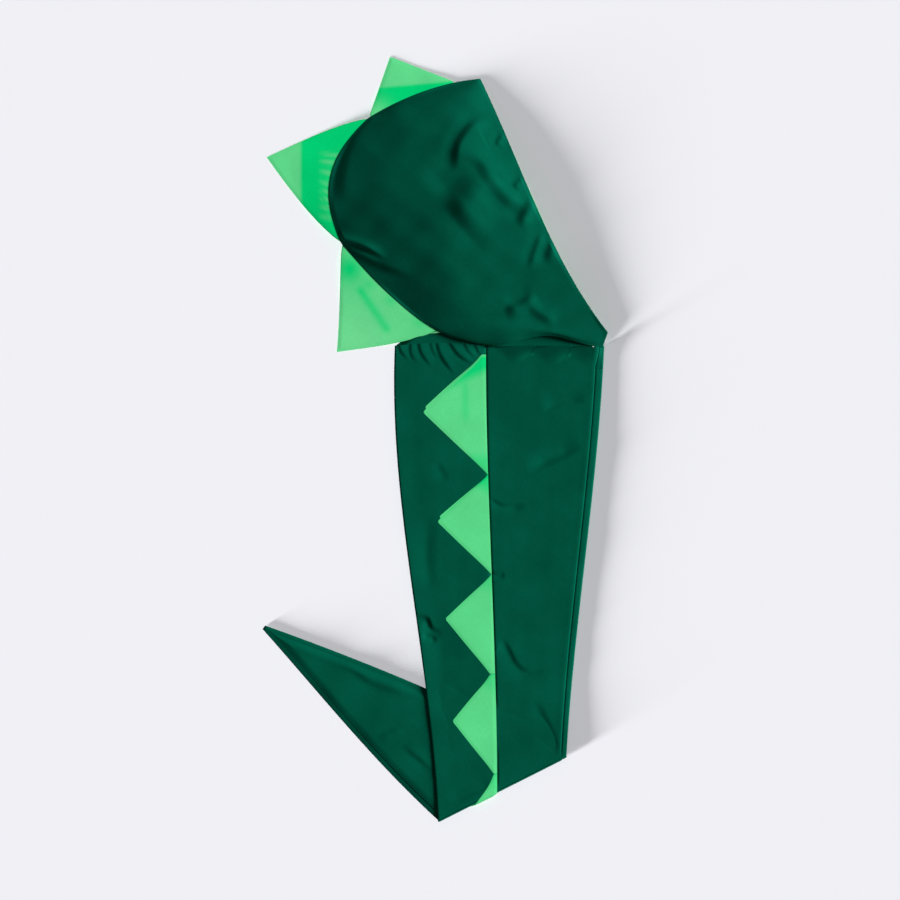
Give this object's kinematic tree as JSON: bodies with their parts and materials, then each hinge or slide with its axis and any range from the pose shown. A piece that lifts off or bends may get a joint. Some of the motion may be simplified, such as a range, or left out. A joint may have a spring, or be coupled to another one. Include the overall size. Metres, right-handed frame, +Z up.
{
  "type": "dress-up hood with tail",
  "caption": "Dragon dress-up hood of dark green satin with light green spikes, and a long tail with its end folded under, laid flat on its side.",
  "frame": {"origin": "on the table, under the centre of the laid-out object", "axes": "+Z up from the table; +Y from the tail towards the crown of the hood; +X towards the face opening"},
  "size_m": [0.3958, 0.8796, 0.0352],
  "materials": {
    "dark_satin": "dark green satin",
    "lining_cloth": "light green plain weave",
    "spike_cloth": "light green plain weave",
    "spike_stiffener": "white stiff interlining",
    "hook_tape": "moulded hooks",
    "loop_tape": "looped pile"
  },
  "bodies": {
    "tail": {"tail_left_panel": "dark_satin", "tail_right_panel": "dark_satin", "tail_under_panel": "dark_satin", "tail_crease": "dark_satin", "tail_spike_5_upper_back": "spike_cloth", "tail_spike_5_upper_core": "spike_stiffener", "tail_spike_5_upper_front": "spike_cloth"},
    "hood": {"hood_right_shell": "dark_satin", "hood_left_shell": "dark_satin", "hood_right_lining": "lining_cloth", "hood_left_lining": "lining_cloth", "neck_loop_patch": "loop_tape"},
    "tail_end": {"tail_end_left_panel": "dark_satin", "tail_end_right_panel": "dark_satin", "tail_end_under_panel": "dark_satin", "tail_spike_5_lower_back": "spike_cloth", "tail_spike_5_lower_core": "spike_stiffener", "tail_spike_5_lower_front": "spike_cloth"},
    "neck_tab": {"neck_tab_strap": "dark_satin", "neck_tab_hook_patch": "hook_tape"},
    "hood_spike_crown": {"hood_spike_crown_back": "spike_cloth", "hood_spike_crown_core": "spike_stiffener", "hood_spike_crown_front": "spike_cloth"},
    "hood_spike_back": {"hood_spike_back_back": "spike_cloth", "hood_spike_back_core": "spike_stiffener", "hood_spike_back_front": "spike_cloth"},
    "hood_spike_nape": {"hood_spike_nape_back": "spike_cloth", "hood_spike_nape_core": "spike_stiffener", "hood_spike_nape_front": "spike_cloth"},
    "tail_spike_1": {"tail_spike_1_back": "spike_cloth", "tail_spike_1_core": "spike_stiffener", "tail_spike_1_front": "spike_cloth"},
    "tail_spike_2": {"tail_spike_2_back": "spike_cloth", "tail_spike_2_core": "spike_stiffener", "tail_spike_2_front": "spike_cloth"},
    "tail_spike_3": {"tail_spike_3_back": "spike_cloth", "tail_spike_3_core": "spike_stiffener", "tail_spike_3_front": "spike_cloth"},
    "tail_spike_4": {"tail_spike_4_back": "spike_cloth", "tail_spike_4_core": "spike_stiffener", "tail_spike_4_front": "spike_cloth"},
    "tail_spike_6": {"tail_spike_6_back": "spike_cloth", "tail_spike_6_core": "spike_stiffener", "tail_spike_6_front": "spike_cloth"}
  },
  "joints": [
    {"name": "hood_lift", "type": "hinge", "parent": "tail", "child": "hood", "pos_m": [0.06127, 0.10629, 0.0054], "axis": [1, 0, 0], "range_deg": [0, 90]},
    {"name": "tail_unfold", "type": "hinge", "parent": "tail", "child": "tail_end", "pos_m": [0.07165, -0.40471, 0.0037], "axis": [-0.8934, -0.4493, 0], "range_deg": [0, 179], "deforming": ["tail_crease"]},
    {"name": "neck_tab_open", "type": "hinge", "parent": "tail", "child": "neck_tab", "pos_m": [0.19534, 0.09229, 0.0041], "axis": [0, -1, 0], "range_deg": [0, 178]},
    {"name": "hood_spike_crown_lift", "type": "hinge", "parent": "hood", "child": "hood_spike_crown", "pos_m": [-0.02787, 0.39476, 0.00653], "axis": [0.9243, 0.3816, 0], "range_deg": [-15, 45]},
    {"name": "hood_spike_back_lift", "type": "hinge", "parent": "hood", "child": "hood_spike_back", "pos_m": [-0.12122, 0.30226, 0.01034], "axis": [0.2133, 0.977, 0], "range_deg": [-15, 45]},
    {"name": "hood_spike_nape_lift", "type": "hinge", "parent": "hood", "child": "hood_spike_nape", "pos_m": [-0.05795, 0.1673, 0.0082], "axis": [-0.7374, 0.6754, 0], "range_deg": [-15, 45]},
    {"name": "tail_spike_1_flip", "type": "hinge", "parent": "tail", "child": "tail_spike_1", "pos_m": [0.06002, 0.02729, 0.0065], "axis": [-0.0166, 0.9999, 0], "range_deg": [0, 178]},
    {"name": "tail_spike_2_flip", "type": "hinge", "parent": "tail", "child": "tail_spike_2", "pos_m": [0.06322, -0.09896, 0.0065], "axis": [-0.0357, 0.9994, 0], "range_deg": [0, 178]},
    {"name": "tail_spike_3_flip", "type": "hinge", "parent": "tail", "child": "tail_spike_3", "pos_m": [0.06731, -0.21346, 0.0065], "axis": [-0.0357, 0.9994, 0], "range_deg": [0, 178]},
    {"name": "tail_spike_4_flip", "type": "hinge", "parent": "tail", "child": "tail_spike_4", "pos_m": [0.07047, -0.32796, 0.0065], "axis": [-0.0195, 0.9998, 0], "range_deg": [0, 178]},
    {"name": "tail_spike_6_flip", "type": "hinge", "parent": "tail_end", "child": "tail_spike_6", "pos_m": [-0.0525, -0.31652, 0.0009], "axis": [0.8212, -0.5707, 0], "range_deg": [0, 178]}
  ]
}
